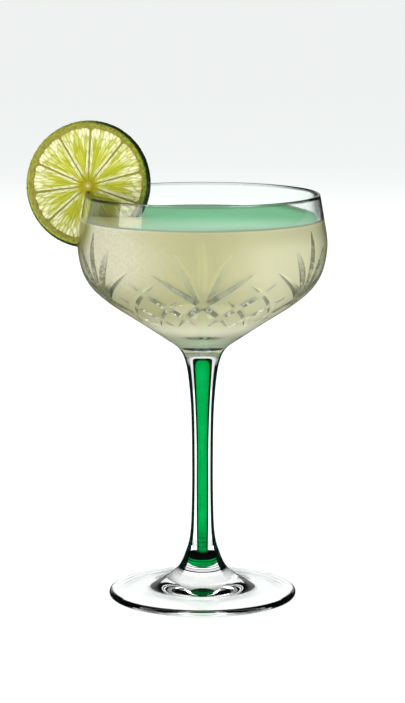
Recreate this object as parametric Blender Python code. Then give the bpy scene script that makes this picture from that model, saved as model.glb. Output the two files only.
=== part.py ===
"""A daiquiri: a cut-glass coupe on a green-cored stem, the drink in it and a lime wheel on its rim.

Metres, +Z up. The origin is the centre of the foot's underside, and the drinker's side faces -Y.
Outlines are (radius, height) in millimetres, read from the top down, and turned about the Z axis.
"""

import math

import bmesh
import bpy
import numpy as np
from mathutils import Vector

MM = 0.001
GAP = 0.3  # mm between neighbouring solids
CUT_PAST = 1.0  # mm that a cutter runs on past the face it opens
WELD = 0.01  # mm within which a turned outline's points on the axis are made one
OUTLINE_TOLERANCE = 0.3  # mm that a turned outline may stray from its curve
FINE_TOLERANCE = 0.015  # the same where the cutters follow the bowl
TURN_STEPS = 48
GLASS_START = math.pi / TURN_STEPS  # half a step round, so that no groove runs along an edge
CORE_STEPS = 16
WHEEL_STEPS = 72

# Glass: bowl, stem and foot
RIM_HEIGHT = 160.0
RIM_EDGE_RADIUS = 0.6
BOWL = (
    (45.8, RIM_HEIGHT - RIM_EDGE_RADIUS),
    (47.5, 149.6),
    (48.7, 140.2),
    (47.1, 130.6),
    (43.2, 123.6),
    (36.5, 117.6),
    (27.2, 111.5),
    (15.4, 103.7),
)
STEM = (
    (9.3, 99.2),
    (6.6, 93.6),
    (5.2, 84.5),
    (4.4, 73.0),
    (4.14, 58.0),
    (4.15, 42.3),
    (4.7, 26.1),
    (6.5, 18.0),
    (10.1, 10.8),
)
FOOT_RADIUS = 37.0
FOOT_EDGE_RADIUS = 1.4
FOOT_TOP = ((18.0, 5.4), (26.0, 3.8), (FOOT_RADIUS - FOOT_EDGE_RADIUS, 2 * FOOT_EDGE_RADIUS))
WALL = ((103.0, 3.1), (112.0, 2.8), (125.0, 2.6), (140.0, 2.2), (150.0, 1.5), (160.0, 1.2))
BOWL_FLOOR = ((9.6, 103.8), (5.2, 102.65), (0.0, 102.35))

# Core: a coloured glass rod with a wider plug at its lower end
CORE = (
    (0.0, 94.2),
    (1.3, 93.6),
    (2.0, 91.8),
    (2.0, 89.0),
    (1.5, 74.0),
    (1.4, 58.0),
    (1.4, 40.0),
    (1.5, 20.0),
)
CORE_NECK = ((1.3, 17.0), (0.7, 15.6), (0.7, 14.6))
CORE_PLUG = ((3.4, 14.0), (4.2, 12.6), (4.2, 0.0))

# Cut pattern: V grooves between two (angle from the middle of a fan in degrees, height) ends
FANS = 6
GROOVE_HALF_ANGLE = math.radians(62)
GROOVE_FULLNESS = 0.8  # power of the lens shape: the lower, the blunter the ends
GROOVE_LIFT = 0.7  # mm that a cutter stands above the bowl
GROOVE_SECTION = 8.0  # mm or so between the sections of a cutter
LEAST_SECTIONS = 4
SLOPE_SPAN = 1.0  # mm of height over which the bowl's slope is taken
HEADING_SPAN = 0.02  # share of a groove over which its heading is taken
GROOVE_OVERRUN = 0.04  # share of a groove's length that its cutter runs on at each end
MIRRORED_WIDTH = 0.96  # of its pair's width, as in hand cutting, so that no two edges coincide
CENTRE_RAY = ((0.0, 148.2), (0.0, 122.6), 3.8)
SIDE_RAYS = (
    ((13.3, 142.6), (1.0, 122.4), 4.1),
    ((23.9, 134.2), (-20.8, 111.0), 3.8),
    ((36.9, 129.8), (3.9, 111.7), 3.3),
    ((47.5, 123.7), (22.0, 110.6), 2.9),
)

# Drink
DRINK_LEVEL = 149.9

# Lime wheel: a slice astride the rim, cut off the middle of the fruit, so its peel slants
WHEEL_THICKNESS = 5.0
WHEEL_HEIGHT = 162.9  # of its centre
WHEEL_SPREAD = 46.0  # from the glass's axis to its centre
WHEEL_TURN = math.radians(-11)  # about the glass's axis
WHEEL_LEAN = math.radians(-9)  # its top leans away from the drinker's side
PEEL = ((22.9, 2.5), (23.4, 2.2), (24.3, 0.3), (24.9, -2.1), (24.5, -2.5))
PITH_PLACE = (0.8, -0.9)
PITH_RADIUS = 2.2
MEMBRANE_WIDTH = 0.8
MEMBRANES = (-18.0, 15.7, 52.0, 88.6, 122.6, 157.8, 188.5, 222.3, 262.0, 302.0)  # degrees
FLESH_PLACE = (0.4, -0.3)
FLESH_RADIUS = 21.2  # on the front
FLESH_SPREAD = 1.05  # of the back's radius against the front's
FLESH_DEPTH = 0.45
SEGMENT_TIP = (0.25, 0.75)  # shares of the segment's angle
SEGMENT_WAIST = 0.4  # share of its length
SEGMENT_CROWN = (  # (share of its angle, share of its length)
    (1.0, 0.86),
    (0.92, 0.97),
    (0.7, 1.0),
    (0.5, 1.0),
    (0.3, 1.0),
    (0.08, 0.97),
    (0.0, 0.86),
)
SLIT_GAP = 0.35
SLIT_DEPTH = 30.0  # from the rim down, past the wheel


def spline_point(window, t):
    """The point at t between the middle two of four points, on a Catmull-Rom curve."""
    before, start, end, after = window
    pull_out = (end - before) * 0.5
    pull_in = (after - start) * 0.5
    lift = 3 * (end - start) - 2 * pull_out - pull_in
    fall = 2 * (start - end) + pull_out + pull_in
    return start + pull_out * t + lift * t**2 + fall * t**3


def smooth_outline(points, tolerance=OUTLINE_TOLERANCE):
    """A curve through the points, in no more pieces than its bends need."""
    points = [Vector(point) for point in points]
    padded = [2 * points[0] - points[1], *points, 2 * points[-1] - points[-2]]
    outline = points[:1]
    for i in range(len(points) - 1):
        window = padded[i : i + 4]
        bulge = (spline_point(window, 0.5) - (window[1] + window[2]) / 2).length
        pieces = max(1, math.ceil(math.sqrt(bulge / tolerance)))
        outline += [spline_point(window, step / pieces) for step in range(1, pieces + 1)]
    return outline


def arc(centre, radius, start, end, steps):
    """Points round a centre, between two angles in degrees."""
    angles = [math.radians(start + (end - start) * step / steps) for step in range(steps + 1)]
    return [Vector((centre[0] + radius * math.cos(a), centre[1] + radius * math.sin(a))) for a in angles]


def shifted(outline, distance):
    """An outline that is read from the top down, moved away from the axis by each point's own distance."""
    outline = [Vector(point) for point in outline]
    moved = []
    for i, point in enumerate(outline):
        along = outline[min(i + 1, len(outline) - 1)] - outline[max(i - 1, 0)]
        normal = Vector((-along.y, along.x)).normalized()
        moved.append(point + normal * distance[i])
    return moved


def wall_at(height):
    heights, thicknesses = zip(*WALL)
    return float(np.interp(height, heights, thicknesses))


def outer_outline():
    """Down the outside, from the rim to the foot's upper edge."""
    return smooth_outline(BOWL + STEM + FOOT_TOP)


def inner_outline():
    """Down the inside, from the rim to the middle of the bowl's floor."""
    wall = shifted(BOWL, [-wall_at(height) for _, height in BOWL])
    wall[0] = Vector((BOWL[0][0] - 2 * RIM_EDGE_RADIUS, BOWL[0][1]))
    return smooth_outline([tuple(point) for point in wall] + list(BOWL_FLOOR))


def glass_outline():
    """From the floor of the bowl over the rim and down to the middle of the underside."""
    rim_centre = (BOWL[0][0] - RIM_EDGE_RADIUS, BOWL[0][1])
    foot_centre = (FOOT_RADIUS - FOOT_EDGE_RADIUS, FOOT_EDGE_RADIUS)
    rim = arc(rim_centre, RIM_EDGE_RADIUS, 180, 0, 4)
    foot = arc(foot_centre, FOOT_EDGE_RADIUS, 90, -90, 4)
    inside = inner_outline()[::-1]
    return inside[:-1] + rim + outer_outline()[1:-1] + foot + [Vector((0, 0))]


def core_outline():
    return smooth_outline(CORE + CORE_NECK) + [Vector(point) for point in CORE_PLUG] + [Vector((0, 0))]


def bore_outline():
    """The core's room in the stem: its outline moved out, with an open mouth through the underside."""
    core = core_outline()[:-1]
    bore = shifted(core, [GAP] * len(core))
    bore[0].x = 0
    return bore + [Vector((bore[-1].x, -CUT_PAST)), Vector((0, -CUT_PAST))]


def drink_outline():
    """The inside of the bowl up to the level of the drink, a gap away from the wall."""
    inside = inner_outline()
    skin = shifted(inside, [-GAP] * len(inside))
    skin[-1].x = 0
    above = [point for point in skin if point.y > DRINK_LEVEL][-1]
    below = [point for point in skin if point.y <= DRINK_LEVEL]
    brim = above.lerp(below[0], (above.y - DRINK_LEVEL) / (above.y - below[0].y))
    return [Vector((0, DRINK_LEVEL)), brim] + below


def new_object(name, mesh):
    made = bpy.data.objects.new(name, mesh)
    bpy.context.scene.collection.objects.link(made)
    return made


def mesh_object(name, points, faces):
    """A closed mesh from points in millimetres, with its faces pointing out."""
    mesh = bpy.data.meshes.new(name)
    mesh.from_pydata([tuple(c * MM for c in point) for point in points], [], faces)
    form = bmesh.new()
    form.from_mesh(mesh)
    bmesh.ops.recalc_face_normals(form, faces=form.faces)
    form.to_mesh(mesh)
    form.free()
    return new_object(name, mesh)


def turned(name, outline, steps, start=0.0, ring=False):
    """A solid turned about its own Z axis from an outline of (radius, height), closed if it is a ring."""
    mesh = bpy.data.meshes.new(name)
    across, along = math.cos(start) * MM, math.sin(start) * MM
    points = [(point[0] * across, point[0] * along, point[1] * MM) for point in outline]
    edges = [(i, i + 1) for i in range(len(points) - 1)]
    if ring:
        edges.append((len(points) - 1, 0))
    mesh.from_pydata(points, edges, [])
    made = new_object(name, mesh)
    turn = made.modifiers.new("Turn", "SCREW")
    turn.steps = turn.render_steps = steps
    turn.use_merge_vertices = True
    turn.merge_threshold = WELD * MM
    turn.use_smooth_shade = True
    return made


def make_cutter(made):
    made.hide_render = True
    made.display_type = "WIRE"
    return made


def cut(body, name, cutter):
    step = body.modifiers.new(name, "BOOLEAN")
    step.operation = "DIFFERENCE"
    if isinstance(cutter, bpy.types.Collection):
        step.operand_type = "COLLECTION"
        step.collection = cutter
    else:
        step.object = cutter
    return step


def cutter_collection(name, cutters):
    group = bpy.data.collections.new(name)
    bpy.context.scene.collection.children.link(group)
    for cutter in cutters:
        bpy.context.scene.collection.objects.unlink(cutter)
        group.objects.link(make_cutter(cutter))
    return group


def finish(made, name, colour, roughness, transmission=0.0):
    """One Principled material for the whole piece."""
    material = bpy.data.materials.new(name)
    material.use_nodes = True
    shader = material.node_tree.nodes["Principled BSDF"]
    shader.inputs["Base Color"].default_value = (*colour, 1)
    shader.inputs["Roughness"].default_value = roughness
    shader.inputs["Metallic"].default_value = 0.0
    shader.inputs["Transmission Weight"].default_value = transmission
    made.data.materials.append(material)
    return made


def bowl_surface():
    """The outside of the bowl as a function from (angle, height) to a point and its outward normal."""
    outline = smooth_outline(BOWL + STEM, FINE_TOLERANCE)[::-1]
    heights = [point.y for point in outline]
    radii = [point.x for point in outline]

    def surface(angle, height):
        radius = float(np.interp(height, heights, radii))
        low, high = np.interp((height - SLOPE_SPAN / 2, height + SLOPE_SPAN / 2), heights, radii)
        slope = float(high - low) / SLOPE_SPAN
        across, back = math.sin(angle), -math.cos(angle)
        normal = Vector((across, back, -slope)).normalized()
        return Vector((radius * across, radius * back, height)), normal

    return surface


def groove_cutter(name, surface, start, end, width):
    """A V-edged blade that dips into the surface and out again, so its cut is pointed at both ends."""
    sections = max(LEAST_SECTIONS, round(math.hypot(start[0] - end[0], start[1] - end[1]) / GROOVE_SECTION))
    depth = width / 2 / math.tan(GROOVE_HALF_ANGLE)
    places = [
        -GROOVE_OVERRUN + (1 + 2 * GROOVE_OVERRUN) * step / sections for step in range(sections + 1)
    ]

    def spot(t):
        angle = math.radians(start[0] + (end[0] - start[0]) * t)
        return surface(angle, start[1] + (end[1] - start[1]) * t)

    points = []
    for t in places:
        place, normal = spot(t)
        along = (spot(t + HEADING_SPAN / 2)[0] - spot(t - HEADING_SPAN / 2)[0]).normalized()
        side = normal.cross(along)
        swell = 4 * t * (1 - t)
        dip = depth * math.copysign(abs(swell) ** GROOVE_FULLNESS, swell)
        reach = (dip + GROOVE_LIFT) * math.tan(GROOVE_HALF_ANGLE)
        top = place + normal * GROOVE_LIFT
        points += [place - normal * dip, top + side * reach, top - side * reach]
    faces = [(0, 1, 2), tuple(3 * sections + corner for corner in range(3))]
    for step in range(sections):
        for corner in range(3):
            a, b = 3 * step + corner, 3 * step + (corner + 1) % 3
            faces.append((a, b, b + 3, a + 3))
    return mesh_object(name, points, faces)


def pattern_cutters():
    """The grooves of every fan: a ray up the middle and mirrored pairs that cross their neighbours'."""
    surface = bowl_surface()
    rays = [CENTRE_RAY]
    for start, end, width in SIDE_RAYS:
        rays.append((start, end, width))
        rays.append(((-start[0], start[1]), (-end[0], end[1]), width * MIRRORED_WIDTH))
    cutters = []
    for fan in range(FANS):
        turn = 360 / FANS * fan
        for number, (start, end, width) in enumerate(rays):
            start, end = (start[0] + turn, start[1]), (end[0] + turn, end[1])
            cutters.append(groove_cutter(f"groove_{fan}_{number}", surface, start, end, width))
    return cutter_collection("bowl_grooves", cutters)


def make_glass():
    glass = turned("glass", glass_outline(), TURN_STEPS, GLASS_START)
    cut(glass, "Core's bore", make_cutter(turned("bore", bore_outline(), CORE_STEPS)))
    cut(glass, "Grooves", pattern_cutters())
    return finish(glass, "clear_glass", (0.93, 0.97, 0.95), 0.03, transmission=1.0)


def make_core():
    core = turned("stem_core", core_outline(), CORE_STEPS)
    return finish(core, "green_glass", (0.01, 0.42, 0.08), 0.05, transmission=0.6)


def segment_outline(start, end, spread):
    """One segment's flesh: a wedge from the pith, with a round outer end, between two membranes."""
    start, end = math.radians(start), math.radians(end)

    def reach(angle):
        """How far the flesh's circle is from the pith."""
        off_x, off_y = PITH_PLACE[0] - FLESH_PLACE[0], PITH_PLACE[1] - FLESH_PLACE[1]
        along = off_x * math.cos(angle) + off_y * math.sin(angle)
        radius = FLESH_RADIUS * spread
        return math.sqrt(along**2 + radius**2 - off_x**2 - off_y**2) - along

    def place(share, radius=None, length=1.0):
        middle = start + (end - start) * share
        radius = radius or reach(middle) * length
        inset = math.asin(min(1, MEMBRANE_WIDTH / 2 / radius))
        angle = start + inset + (end - start - 2 * inset) * share
        return PITH_PLACE[0] + radius * math.cos(angle), PITH_PLACE[1] + radius * math.sin(angle)

    tip = [place(share, PITH_RADIUS) for share in SEGMENT_TIP]
    crown = [place(share, length=length) for share, length in SEGMENT_CROWN]
    return [*tip, place(1.0, length=SEGMENT_WAIST), *crown, place(0.0, length=SEGMENT_WAIST)]


def prism(name, outline, low, high):
    """An outline in a plane, raised from one height to another."""
    count = len(outline)
    points = [(x, y, low) for x, y in outline] + [(x, y, high) for x, y in outline]
    sides = [(i, (i + 1) % count, count + (i + 1) % count, count + i) for i in range(count)]
    return mesh_object(name, points, [tuple(range(count)), tuple(range(count, 2 * count)), *sides])


def segment_cutters():
    """Sinks the flesh below the membranes, on both faces."""
    cutters = []
    face = WHEEL_THICKNESS / 2
    for number, start in enumerate(MEMBRANES):
        end = MEMBRANES[(number + 1) % len(MEMBRANES)]
        end += 360 if end < start else 0
        front = segment_outline(start, end, 1.0)
        back = segment_outline(start, end, FLESH_SPREAD)
        cutters.append(prism(f"flesh_front_{number}", front, face - FLESH_DEPTH, face + CUT_PAST))
        cutters.append(prism(f"flesh_back_{number}", back, -face - CUT_PAST, -face + FLESH_DEPTH))
    return cutters


def slit_cutter():
    """The bowl's wall with a gap round it, from the rim down past the wheel."""
    bottom = RIM_HEIGHT - SLIT_DEPTH
    outer = [point for point in outer_outline() if point.y > bottom]
    inner = [point for point in inner_outline() if point.y > bottom]
    outer = shifted(outer, [SLIT_GAP] * len(outer))
    inner = shifted(inner, [-SLIT_GAP] * len(inner))
    outer.insert(0, Vector((outer[0].x, RIM_HEIGHT + SLIT_GAP)))
    inner.insert(0, Vector((inner[0].x, RIM_HEIGHT + SLIT_GAP)))
    return turned("slit", outer + inner[::-1], TURN_STEPS, GLASS_START, ring=True)


def place_on_rim(made):
    """Stands a piece made in its own XY plane across the rim, facing the drinker's side."""
    made.rotation_euler = (math.pi / 2 + WHEEL_LEAN, 0, WHEEL_TURN)
    made.location = (
        -WHEEL_SPREAD * math.cos(WHEEL_TURN) * MM,
        -WHEEL_SPREAD * math.sin(WHEEL_TURN) * MM,
        WHEEL_HEIGHT * MM,
    )
    return made


def make_wheel():
    face = WHEEL_THICKNESS / 2
    outline = [(0, face), *PEEL, (0, -face)]
    wheel = place_on_rim(turned("lime_wheel", outline, WHEEL_STEPS))
    cutters = [place_on_rim(cutter) for cutter in segment_cutters()]
    cut(wheel, "Flesh and slit", cutter_collection("wheel_cuts", [*cutters, slit_cutter()]))
    return finish(wheel, "lime", (0.55, 0.58, 0.09), 0.35)


def make_drink():
    drink = turned("drink", drink_outline(), TURN_STEPS, GLASS_START)
    face = WHEEL_THICKNESS / 2 + GAP
    reach = max(radius for radius, _ in PEEL) + GAP
    room = turned("wheel_room", [(0, face), (reach, face), (reach, -face), (0, -face)], WHEEL_STEPS)
    cut(drink, "Round the wheel", make_cutter(place_on_rim(room)))
    return finish(drink, "daiquiri", (0.62, 0.60, 0.32), 0.1, transmission=0.2)


def main():
    for existing in list(bpy.data.objects):
        bpy.data.objects.remove(existing)
    make_glass()
    make_core()
    make_drink()
    make_wheel()


main()
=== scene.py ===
"""A daiquiri in a cut coupe with a lime wheel on its rim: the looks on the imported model's frame.

Lengths are in millimetres until a mesh is made, and outlines are (radius, height) from the top down.
"""

import functools
import math

import bmesh
import bpy
import numpy as np
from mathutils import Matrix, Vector


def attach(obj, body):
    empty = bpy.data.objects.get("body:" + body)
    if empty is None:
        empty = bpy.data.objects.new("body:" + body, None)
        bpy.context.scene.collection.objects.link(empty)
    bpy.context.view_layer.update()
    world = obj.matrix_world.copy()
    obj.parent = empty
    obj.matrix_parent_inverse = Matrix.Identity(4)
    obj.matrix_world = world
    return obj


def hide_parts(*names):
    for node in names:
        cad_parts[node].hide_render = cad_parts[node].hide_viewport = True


MM = 0.001

# the glass and the green core in its stem
RIM_HEIGHT = 160.0
RIM_EDGE_RADIUS = 0.6
BOWL = (
    (45.8, RIM_HEIGHT - RIM_EDGE_RADIUS),
    (47.5, 149.6),
    (48.7, 140.2),
    (47.1, 130.6),
    (43.2, 123.6),
    (36.5, 117.6),
    (27.2, 111.5),
    (15.4, 103.7),
)
STEM = (
    (9.3, 99.2),
    (6.6, 93.6),
    (5.2, 84.5),
    (4.4, 73.0),
    (4.14, 58.0),
    (4.15, 42.3),
    (4.7, 26.1),
    (6.5, 18.0),
    (10.1, 10.8),
)
FOOT_RADIUS = 37.0
FOOT_EDGE_RADIUS = 1.4
FOOT_TOP = ((18.0, 5.4), (26.0, 3.8), (FOOT_RADIUS - FOOT_EDGE_RADIUS, 2 * FOOT_EDGE_RADIUS))
WALL = ((103.0, 3.1), (112.0, 2.8), (125.0, 2.6), (140.0, 2.2), (150.0, 1.5), (160.0, 1.2))
BOWL_FLOOR = ((9.6, 103.8), (5.2, 102.65), (0.0, 102.35))
CORE = (
    (0.0, 96.5),
    (1.6, 96.4),
    (2.3, 96.0),
    (2.5, 95.2),
    (2.45, 93.0),
    (2.35, 90.0),
    (2.05, 82.0),
    (1.74, 72.0),
    (1.52, 60.0),
    (1.50, 50.0),
    (1.52, 40.0),
    (1.52, 30.0),
    (1.45, 20.0),
    (1.45, 17.2),
)
CORE_COLLAR = ((3.3, 16.9), (3.8, 16.2), (3.8, 14.8))
CORE_PLUG = ((3.9, 14.2), (4.25, 13.2), (3.95, 12.2), (3.0, 11.2), (1.6, 10.5))
UNDERSIDE = ((34.4, 0.0), (32.0, 0.35), (26.0, 1.1), (18.0, 1.8), (8.0, 2.3), (0.0, 2.4))
TURN_STEPS = 192
CORE_STEPS = 96
CORE_END = (0.0, 10.3)
EDGE_STEPS = 12
OUTLINE_TOLERANCE = 0.006
ON_AXIS = 1e-6

# the cuts. A ray is (start, end, width), and its ends are (degrees round, height)
FANS = 6
GROOVE_HALF_ANGLE = math.radians(62)
GROOVE_FULLNESS = 0.8
GROOVE_LIFT = 0.7
GROOVE_SECTION = 1.6
FEWEST_SECTIONS = 8
GROOVE_AHEAD = 0.01
SLOPE_REACH = 0.5
GROOVE_SKEW = -0.2
GROOVE_OVERRUN = 0.04
MIRRORED_WIDTH = 0.96
SMOOTH_BELOW = math.radians(14)
CUT_LEAN = math.radians(17)
CUT_HEIGHTS = (105.0, 150.0)
PLACES_AT_ONCE = 4000
CENTRE_RAY = ((0.0, 148.2), (0.0, 122.6), 3.8)
SIDE_RAYS = (
    ((13.3, 142.6), (1.0, 122.4), 4.1),
    ((23.9, 134.2), (-20.8, 111.0), 4.2),
    ((36.9, 129.8), (3.9, 111.7), 3.3),
    ((47.5, 123.7), (22.0, 110.6), 2.9),
)
# (degrees round, height) where two cuts cross, and the bowl's radius and length for its height there
CROSSINGS = ((0.0, 121.8), (30.0, 126.0), (11.5, 115.9), (19.3, 120.2), (30.0, 114.7), (21.8, 110.5))
CROSSING_RADIUS = 33.0
CROSSING_SLOPE = 1.3

# the drink
DRINK_LEVEL = 149.9
DRINK_INTO_WALL = 0.2
MENISCUS_RISE = 0.9
MENISCUS_WIDTH = 2.4
MENISCUS_CURVE = 3.2
MENISCUS_STEPS = 12
MENISCUS_CLEAR = 0.05
SURFACE_RINGS = (0, 0.2, 0.4, 0.6, 0.8, 0.9)
SURFACE_DEPTH = 0.2
SURFACE_UPWARD = 0.2
BRIM_CREASE = math.radians(50)

# the lime wheel, in its own plane with its axis upright
WHEEL_THICKNESS = 5.0
WHEEL_HEIGHT = 162.9
WHEEL_SPREAD = 46.0
WHEEL_TURN = math.radians(-11)
WHEEL_LEAN = math.radians(-9)
WHEEL_FACE = WHEEL_THICKNESS / 2
WHEEL_CREASE = math.radians(60)
WHEEL_ROOM = 0.1
ROOM_STEPS = 96
SLIT_GAP = 0.12
SLIT_LOWEST = 128.0
SLIT_TOLERANCE = 0.02
PEEL = ((22.9, 2.5), (23.4, 2.2), (24.3, 0.3), (24.9, -2.1), (24.5, -2.5))
PITH_FRONT = ((21.5, 1.3), (21.55, 2.2), (21.65, 2.45), (21.9, 2.5), (22.4, 2.5), (22.75, 2.5))
PITH_BACK = ((23.6, -2.5), (22.9, -2.5), (22.4, -2.4), (22.2, -1.3))
PITH_FOLLOWS_FLESH = (21.9, 22.8)
PITH_PLACE = (0.8, -0.9)
MEMBRANES = (-18.0, 15.7, 52.0, 88.6, 122.6, 157.8, 188.5, 222.3, 262.0, 302.0)
FLESH_PLACE = (0.70, 0.0)
FLESH_RADIUS = 21.9
FLESH_OVERLAP = 1.02
FLESH_SUNK = 0.42
FLESH_FACE = WHEEL_FACE - FLESH_SUNK
FACE_TOLERANCE = 0.01
FLESH_HIGHEST = 0.40
FLESH_RINGS = 118
FLESH_STEPS = 600
BACK_SPREAD = 1.05
BACK_RINGS = 26
SIDE_CREAM = 0.35
SIDE_STAR = 10.0
SHADE_LINE = 159.4
SHADE_SLOPE = -0.2
SHADE_BLUR = 0.15
SHADE_BESIDE_WALL = (BOWL[1][0] - 4.0, BOWL[1][0] - 1.5)
SHADE_ACROSS = (10.5, 13.5)
PEEL_STEPS = 480
PEEL_TOLERANCE = 0.002
PEEL_BUMPS = 0.045
BUMPS_BEGIN = (22.8, 23.2)
BUMP_WAVES = (31, 47, 58, 73, 89)

# vesicles in rows of (share of the reach, width, half length), and the (low, high) of each random draw
VESICLE_ROWS = ((0.92, 1.3, 1.9), (0.74, 1.15, 2.7), (0.53, 0.9, 3.4), (0.33, 0.7, 3.0))
VESICLE_FOCUS = 3.2
VESICLE_ASIDE = (-0.3, 0.3)
VESICLE_OUTWARD = (-0.09, 0.09)
VESICLE_TURN = (-0.10, 0.10)
VESICLE_LENGTH = (0.8, 1.25)
VESICLE_WIDTH = (0.42, 0.62)
# the long ones that lie along the membranes
LONG_FIRST = (5.0, 6.5)
LONG_STEP = (4.2, 6.0)
LONG_FARTHEST = 18.5
LONG_INSET = 0.85
LONG_LEAN = 0.05
LONG_TURN = (-0.03, 0.03)
LONG_HALF_LENGTH = (3.4, 4.6)
LONG_HALF_WIDTH = (0.40, 0.55)
LONG_TONE = (0.5, 1.0)
# the membranes between the segments, and the round corners of a segment
MEMBRANE_HALF = 0.13
MEMBRANE_WIDENS = 0.20
SEGMENT_CORNER = 1.9
SEGMENT_INSET = 0.1
SEGMENT_EDGE = 0.2
PITH_EDGE = (1.6, 2.6)
# a vesicle is fuller towards the rind, and stands up from the flesh between lower skins
VESICLE_TAPER = 0.34
TAPER_ENDS = (-1.6, 1.0)
STREAK_WAVE = 15
FLESH_STANDS = 0.10
VESICLE_STANDS = 0.26
SKIN_SINKS = 0.12


# ---------- outlines
def spline_point(window, t):
    """A Catmull-Rom spline through the window's middle two points."""
    before, start, end, after = window
    pull_out = (end - before) * 0.5
    pull_in = (after - start) * 0.5
    lift = 3 * (end - start) - 2 * pull_out - pull_in
    fall = 2 * (start - end) + pull_out + pull_in
    return start + pull_out * t + lift * t**2 + fall * t**3


def smooth_outline(points, tolerance=OUTLINE_TOLERANCE, least=1):
    """The spline through the points, in as many pieces as its bulge needs and at least that many."""
    points = [*map(Vector, points)]
    padded = [2 * points[0] - points[1], *points, 2 * points[-1] - points[-2]]
    outline = points[:1]
    for i in range(len(points) - 1):
        window = padded[i : i + 4]
        bulge = (spline_point(window, 0.5) - (window[1] + window[2]) / 2).length
        pieces = max(least, math.ceil(math.sqrt(bulge / tolerance)))
        outline += [spline_point(window, step / pieces) for step in range(1, pieces + 1)]
    return outline


def arc(centre, radius, start, end, steps):
    """Points round the centre, between two angles in degrees."""
    angles = [math.radians(start + (end - start) * step / steps) for step in range(steps + 1)]
    return [Vector((centre[0] + radius * math.cos(a), centre[1] + radius * math.sin(a))) for a in angles]


def shifted(outline, distances):
    """Each point moved to the left of the outline's way by its own distance."""
    outline = [*map(Vector, outline)]
    moved = []
    for i, point in enumerate(outline):
        along = outline[min(i + 1, len(outline) - 1)] - outline[max(i - 1, 0)]
        normal = Vector((-along.y, along.x)).normalized()
        moved.append(point + normal * distances[i])
    return moved


def inner_outline(least=1):
    """The bowl's inside: its outside moved in by the wall, then the floor."""
    heights, thicknesses = zip(*WALL)
    wall = shifted(BOWL, [-float(np.interp(height, heights, thicknesses)) for _, height in BOWL])
    wall[0] = Vector((BOWL[0][0] - 2 * RIM_EDGE_RADIUS, BOWL[0][1]))
    return smooth_outline([tuple(point) for point in wall] + list(BOWL_FLOOR), least=least)


def glass_outline():
    rim_centre = (BOWL[0][0] - RIM_EDGE_RADIUS, BOWL[0][1])
    foot_centre = (FOOT_RADIUS - FOOT_EDGE_RADIUS, FOOT_EDGE_RADIUS)
    rim = arc(rim_centre, RIM_EDGE_RADIUS, 180, 0, EDGE_STEPS)
    foot = arc(foot_centre, FOOT_EDGE_RADIUS, 90, -90, EDGE_STEPS)
    outer = smooth_outline(BOWL + STEM + FOOT_TOP, least=3)
    under = smooth_outline(UNDERSIDE, least=4)
    return inner_outline(least=3)[::-1][:-1] + rim + outer[1:-1] + foot + under


# ---------- meshes
def new_object(name, mesh):
    made = bpy.data.objects.new(name, mesh)
    bpy.context.scene.collection.objects.link(made)
    return made


def turned(name, outline, steps, middle=(0.0, 0.0)):
    """A closed mesh of revolution round an upright axis at middle. Points on the axis become one."""
    points, rings = [], []
    for radius, height in outline:
        if radius < ON_AXIS:
            rings.append([len(points)] * steps)
            points.append((*middle, height))
            continue
        rings.append(list(range(len(points), len(points) + steps)))
        for step in range(steps):
            angle = 2 * math.pi * step / steps
            across, along = radius * math.cos(angle), radius * math.sin(angle)
            points.append((middle[0] + across, middle[1] + along, height))
    made = closed_mesh(name, points, ring_faces(rings))
    made.data.shade_smooth()
    return made


def ring_faces(rings):
    """Faces from each ring of point numbers to the next. A ring on the axis repeats one number."""
    faces = []
    steps = len(rings[0])
    for upper, lower in zip(rings, rings[1:]):
        for step in range(steps):
            after = (step + 1) % steps
            corners = (upper[step], lower[step], lower[after], upper[after])
            faces.append(tuple(dict.fromkeys(corners)))
    return faces


def closed_mesh(name, points, faces):
    """An object from points in millimetres, with its faces turned outwards."""
    mesh = bpy.data.meshes.new(name)
    mesh.from_pydata([tuple(c * MM for c in point) for point in points], [], faces)
    form = bmesh.new()
    form.from_mesh(mesh)
    bmesh.ops.recalc_face_normals(form, faces=form.faces)
    form.to_mesh(mesh)
    form.free()
    return new_object(name, mesh)


def boolean(body, cutters):
    """Cuts the cutters off the body, keeps the result and removes the cutters."""
    group = bpy.data.collections.new("cutters")
    bpy.context.scene.collection.children.link(group)
    for cutter in cutters:
        bpy.context.scene.collection.objects.unlink(cutter)
        group.objects.link(cutter)
    step = body.modifiers.new("Cut", "BOOLEAN")
    step.operation = "DIFFERENCE"
    step.solver = "EXACT"
    step.operand_type = "COLLECTION"
    step.collection = group
    graph = bpy.context.evaluated_depsgraph_get()
    mesh = bpy.data.meshes.new_from_object(body.evaluated_get(graph))
    body.modifiers.clear()
    body.data = mesh
    for cutter in cutters:
        bpy.data.objects.remove(cutter)
    bpy.data.collections.remove(group)
    return body


def read(items, key, width=1, kind=float):
    """One value, or one row of values, from each of a mesh's items."""
    values = np.empty(len(items) * width, kind)
    items.foreach_get(key, values)
    return values.reshape(-1, width) if width > 1 else values


def set_floats(mesh, domain, **values):
    for name, data in values.items():
        attribute = mesh.attributes.new(name, "FLOAT", domain)
        attribute.data.foreach_set("value", np.ascontiguousarray(data, np.float32))


def crease(mesh, angle):
    mesh.shade_smooth()
    mesh.set_sharp_from_angle(angle=angle)


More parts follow.
